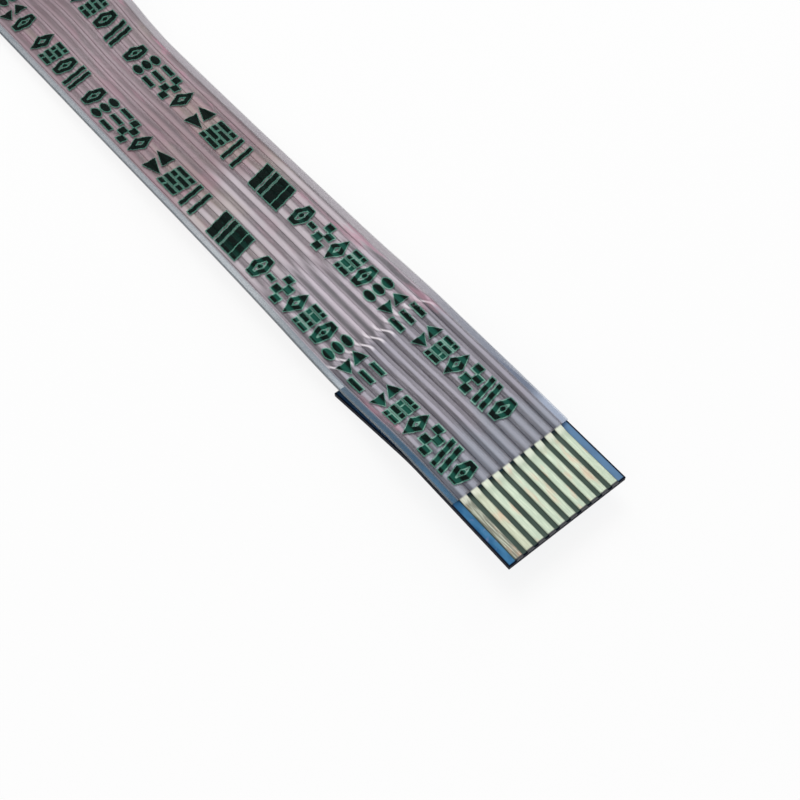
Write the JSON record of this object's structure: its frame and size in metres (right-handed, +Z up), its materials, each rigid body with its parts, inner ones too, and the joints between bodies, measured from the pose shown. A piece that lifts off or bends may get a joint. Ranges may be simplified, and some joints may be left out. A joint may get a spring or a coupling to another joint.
{
  "type": "flat flex cable",
  "caption": "Flat ribbon of parallel tinned conductors between two clear films, bare at both ends over stiffener tapes, creased near one end where the tape has peeled",
  "frame": {"origin": "centre of the bounding box in X and Y, on the surface that the cable lies on", "axes": "+X along the cable towards the near end, which is the bent one; +Y across it towards conductor 1; +Z up, on the side where the contacts are bare"},
  "size_m": [0.05, 0.0054, 0.0013],
  "materials": {
    "film": "satin, milky, see-through polyester film",
    "stiffener": "satin blue polyester tape",
    "tinned_copper": "satin tin plate on copper"
  },
  "bodies": {
    "root": {"top_film": "film", "bottom_film": "film", "stiffener_near": "stiffener", "stiffener_far": "stiffener", "conductor_01": "tinned_copper", "conductor_02": "tinned_copper", "conductor_03": "tinned_copper", "conductor_04": "tinned_copper", "conductor_05": "tinned_copper", "conductor_06": "tinned_copper", "conductor_07": "tinned_copper", "conductor_08": "tinned_copper", "conductor_09": "tinned_copper", "conductor_10": "tinned_copper"}
  },
  "joints": []
}
